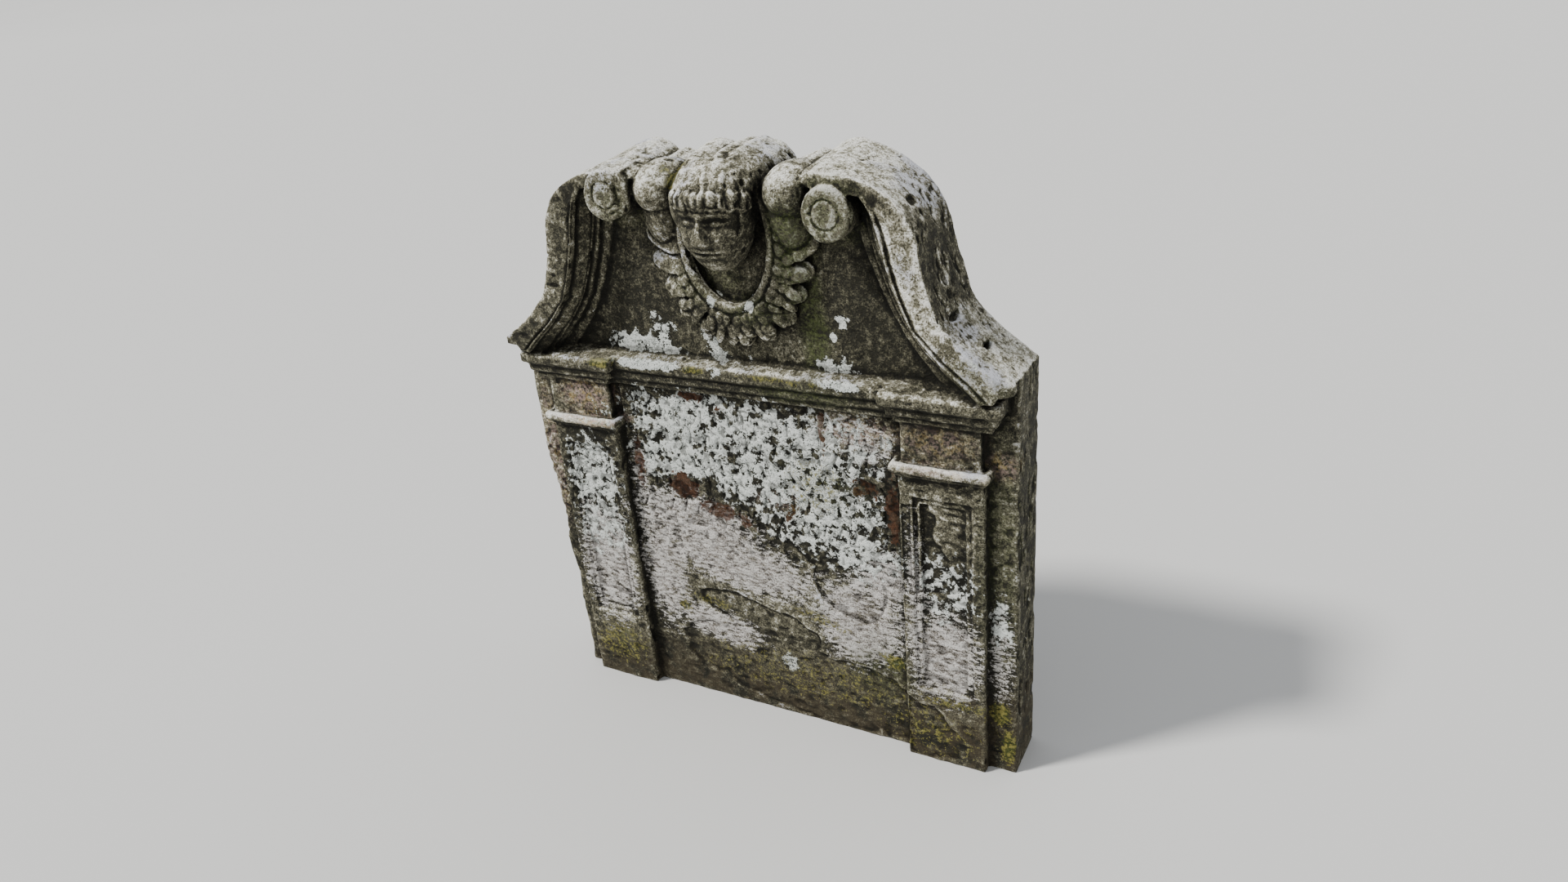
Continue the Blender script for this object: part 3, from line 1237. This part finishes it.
@dataclass
class Headstone:
    """The whole stone: carved, worn, thinned, overgrown and finished.

    Attributes:
        slab: Its slab.
        detail: How fine it is modelled.
        sunk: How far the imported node's coarse head and wings are pushed in under the finer ones.
        lowered: How far its coarse crown is pushed down under the finer hair.
    """

    slab: Slab
    detail: Detail
    sunk: float = 0.006
    lowered: float = 0.005

    def blank(self, head: WingedHead) -> bmesh.types.BMesh:
        """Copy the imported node, its coarse head and wings sunk a little to lie under the finer ones."""
        bm = bmesh.new()
        bm.from_mesh(bpy.data.objects[NODE].data)
        bmesh.ops.remove_doubles(bm, verts=bm.verts, dist=1e-6)
        crown = head.chin + 0.62 * head.head_height
        for vertex in bm.verts:
            x, y, z = vertex.co
            if abs(x) < 0.165 and z > 0.765 and y < self.slab.front - 0.008:
                vertex.co.y += self.sunk
            if abs(x) < 0.115 and z > crown:
                vertex.co.z -= self.lowered
        return bm

    def voxels(self, carving: Carving) -> bpy.types.Object:
        """Fuse the overlapping forms into one closed skin of even cells."""
        item = bpy.data.objects.new("carving", carving.finished())
        bpy.context.scene.collection.objects.link(item)
        remesh = item.modifiers.new("fuse", "REMESH")
        remesh.mode = "VOXEL"
        remesh.voxel_size = self.detail.grain
        return self.applied(item)

    @staticmethod
    def applied(item: bpy.types.Object) -> bpy.types.Object:
        """Turn an object's modifiers into plain mesh."""
        depsgraph = bpy.context.evaluated_depsgraph_get()
        mesh = bpy.data.meshes.new_from_object(item.evaluated_get(depsgraph))
        old = item.data
        item.modifiers.clear()
        item.data = mesh
        bpy.data.meshes.remove(old)
        return item

    def thin(self, item: bpy.types.Object, head: WingedHead) -> None:
        """Bring the mesh down to its share of triangles, finest on the head and the wings."""
        points = Mesh.read(item.data).points
        carved = head.near(points) > 0.5
        group = item.vertex_groups.new(name="carved")
        group.add(np.nonzero(carved)[0].tolist(), 1.0, "REPLACE")
        in_faces = np.zeros(len(item.data.loops), np.int32)
        item.data.loops.foreach_get("vertex_index", in_faces)
        total = 2 * len(item.data.polygons)
        carved_faces = int(total * carved[in_faces].mean())
        for name, invert, target in (
            ("plain", True, carved_faces + self.detail.plain),
            ("carved", False, self.detail.carving + self.detail.plain),
        ):
            decimate = item.modifiers.new(name, "DECIMATE")
            decimate.vertex_group = group.name
            decimate.invert_vertex_group = invert
            decimate.use_collapse_triangulate = True
            decimate.ratio = min(1.0, target / total)
            self.applied(item)
            total = len(item.data.polygons)
            LOG.info("thinned %s to %d faces", name, total)
        item.vertex_groups.clear()

    def settle(self, item: bpy.types.Object, points: np.ndarray) -> None:
        """Move the vertices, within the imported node's box and flat on its underside and back."""
        low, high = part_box(NODE)
        held = np.clip(points, np.array(low), np.array(high))
        item.data.vertices.foreach_set("co", held.astype(np.float32).ravel())
        item.data.update()

    def build(self) -> bpy.types.Object:
        """Make the stone and return its object."""
        head = WingedHead(self.slab)
        carving = Carving(self.slab.back)
        carving.add(self.blank(head))
        head.carve_head(carving)
        head.carve_hair(carving)
        head.carve_wings(carving)
        head.carve_rim(carving)
        item = self.voxels(carving)
        item.name = "carved_stone"
        mesh = Mesh.read(item.data)
        LOG.info("fused into %d cells", len(item.data.polygons))
        weathering = Weathering(self.slab, head, Inscription(), Moulding())
        self.settle(item, weathering.wear(mesh, self.detail.grain))
        self.thin(item, head)
        self.settle(item, Mesh.read(item.data).points)
        item.data.polygons.foreach_set("use_smooth", [True] * len(item.data.polygons))
        Patina(head).grow(item, self.detail.rays)
        item.data.materials.clear()
        item.data.materials.append(SandstoneFinish().make())
        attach(item, "root")
        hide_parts(NODE)
        LOG.info("carved_stone has %d faces", len(item.data.polygons))
        return item


# The studio


@dataclass(frozen=True)
class Studio:
    """A pale floor, soft light and the camera at the photograph's angle.

    Attributes:
        place: Where the camera stands.
        right: The picture's right in space.
        down: The picture's downward direction.
        ahead: Where the camera looks.
        lens: Its focal length in millimetres.
        sensor: Its sensor's width in millimetres.
        floor_half: Half the floor's width.
        floor_flat: How far out the floor is flat.
        floor_rise: How fast it rises beyond that.
        floor_tint: Its colour.
        sun_way: Where the sun's light goes.
        sun_energy: Its strength.
        sun_spread: How soft its shadows are, in degrees.
        sun_tint: Its colour.
        sky_tint: The sky's colour.
        sky_strength: Its strength.
    """

    place: Tint = (0.83932, -1.41158, 1.30152)
    right: Tint = (0.88380, 0.46024, -0.08408)
    down: Tint = (0.12918, -0.41277, -0.90163)
    ahead: Tint = (-0.44968, 0.78600, -0.42426)
    lens: float = 24.444
    sensor: float = 36.0
    floor_half: float = 100.0
    floor_flat: float = 60.0
    floor_rise: float = 0.012
    floor_tint: Tint = (0.62, 0.62, 0.61)
    sun_way: Tint = (1.15, 0.95, -1.75)
    sun_energy: float = 4.3
    sun_spread: float = 8.0
    sun_tint: Tint = (1.0, 0.98, 0.94)
    sky_tint: Tint = (0.80, 0.82, 0.85)
    sky_strength: float = 0.80

    def set_camera(self) -> None:
        """Stand the camera where the photograph was taken from."""
        data = bpy.data.cameras.new("camera")
        data.lens, data.sensor_width = self.lens, self.sensor
        item = bpy.data.objects.new("camera", data)
        turn = Matrix((self.right, [-v for v in self.down], [-v for v in self.ahead])).transposed()
        item.matrix_world = Matrix.Translation(self.place) @ turn.to_4x4()
        bpy.context.scene.collection.objects.link(item)
        bpy.context.scene.camera = item

    def lay_floor(self) -> None:
        """Lay a wide pale floor that rises far out, like a studio sweep."""
        bm = bmesh.new()
        bmesh.ops.create_grid(bm, x_segments=80, y_segments=80, size=self.floor_half)
        for vertex in bm.verts:
            vertex.co.z = self.floor_rise * max(0.0, vertex.co.xy.length - self.floor_flat) ** 2
        mesh = bpy.data.meshes.new("floor")
        bm.to_mesh(mesh)
        bm.free()
        floor = bpy.data.objects.new("floor", mesh)
        bpy.context.scene.collection.objects.link(floor)
        material = bpy.data.materials.new("floor_paint")
        material.use_nodes = True
        shader = material.node_tree.nodes["Principled BSDF"]
        shader.inputs["Base Color"].default_value = (*self.floor_tint, 1)
        shader.inputs["Roughness"].default_value = 0.9
        mesh.materials.append(material)

    def light(self) -> None:
        """Light the stone from the upper left, under a pale sky."""
        data = bpy.data.lights.new("key", "SUN")
        data.energy, data.angle, data.color = self.sun_energy, math.radians(self.sun_spread), self.sun_tint
        item = bpy.data.objects.new("key", data)
        item.rotation_euler = Vector(self.sun_way).to_track_quat("-Z", "Y").to_euler()
        bpy.context.scene.collection.objects.link(item)
        world = bpy.data.worlds.new("sky")
        world.use_nodes = True
        background = world.node_tree.nodes["Background"]
        background.inputs["Color"].default_value = (*self.sky_tint, 1)
        background.inputs["Strength"].default_value = self.sky_strength
        bpy.context.scene.world = world


def main() -> None:
    """Build the stone and the studio round it."""
    logging.basicConfig(level=logging.INFO, format="%(message)s")
    slab = Slab.from_frame()
    Headstone(slab, Detail.chosen()).build()
    studio = Studio()
    studio.lay_floor()
    studio.light()
    studio.set_camera()


if __name__ == "__main__":
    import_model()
    main()
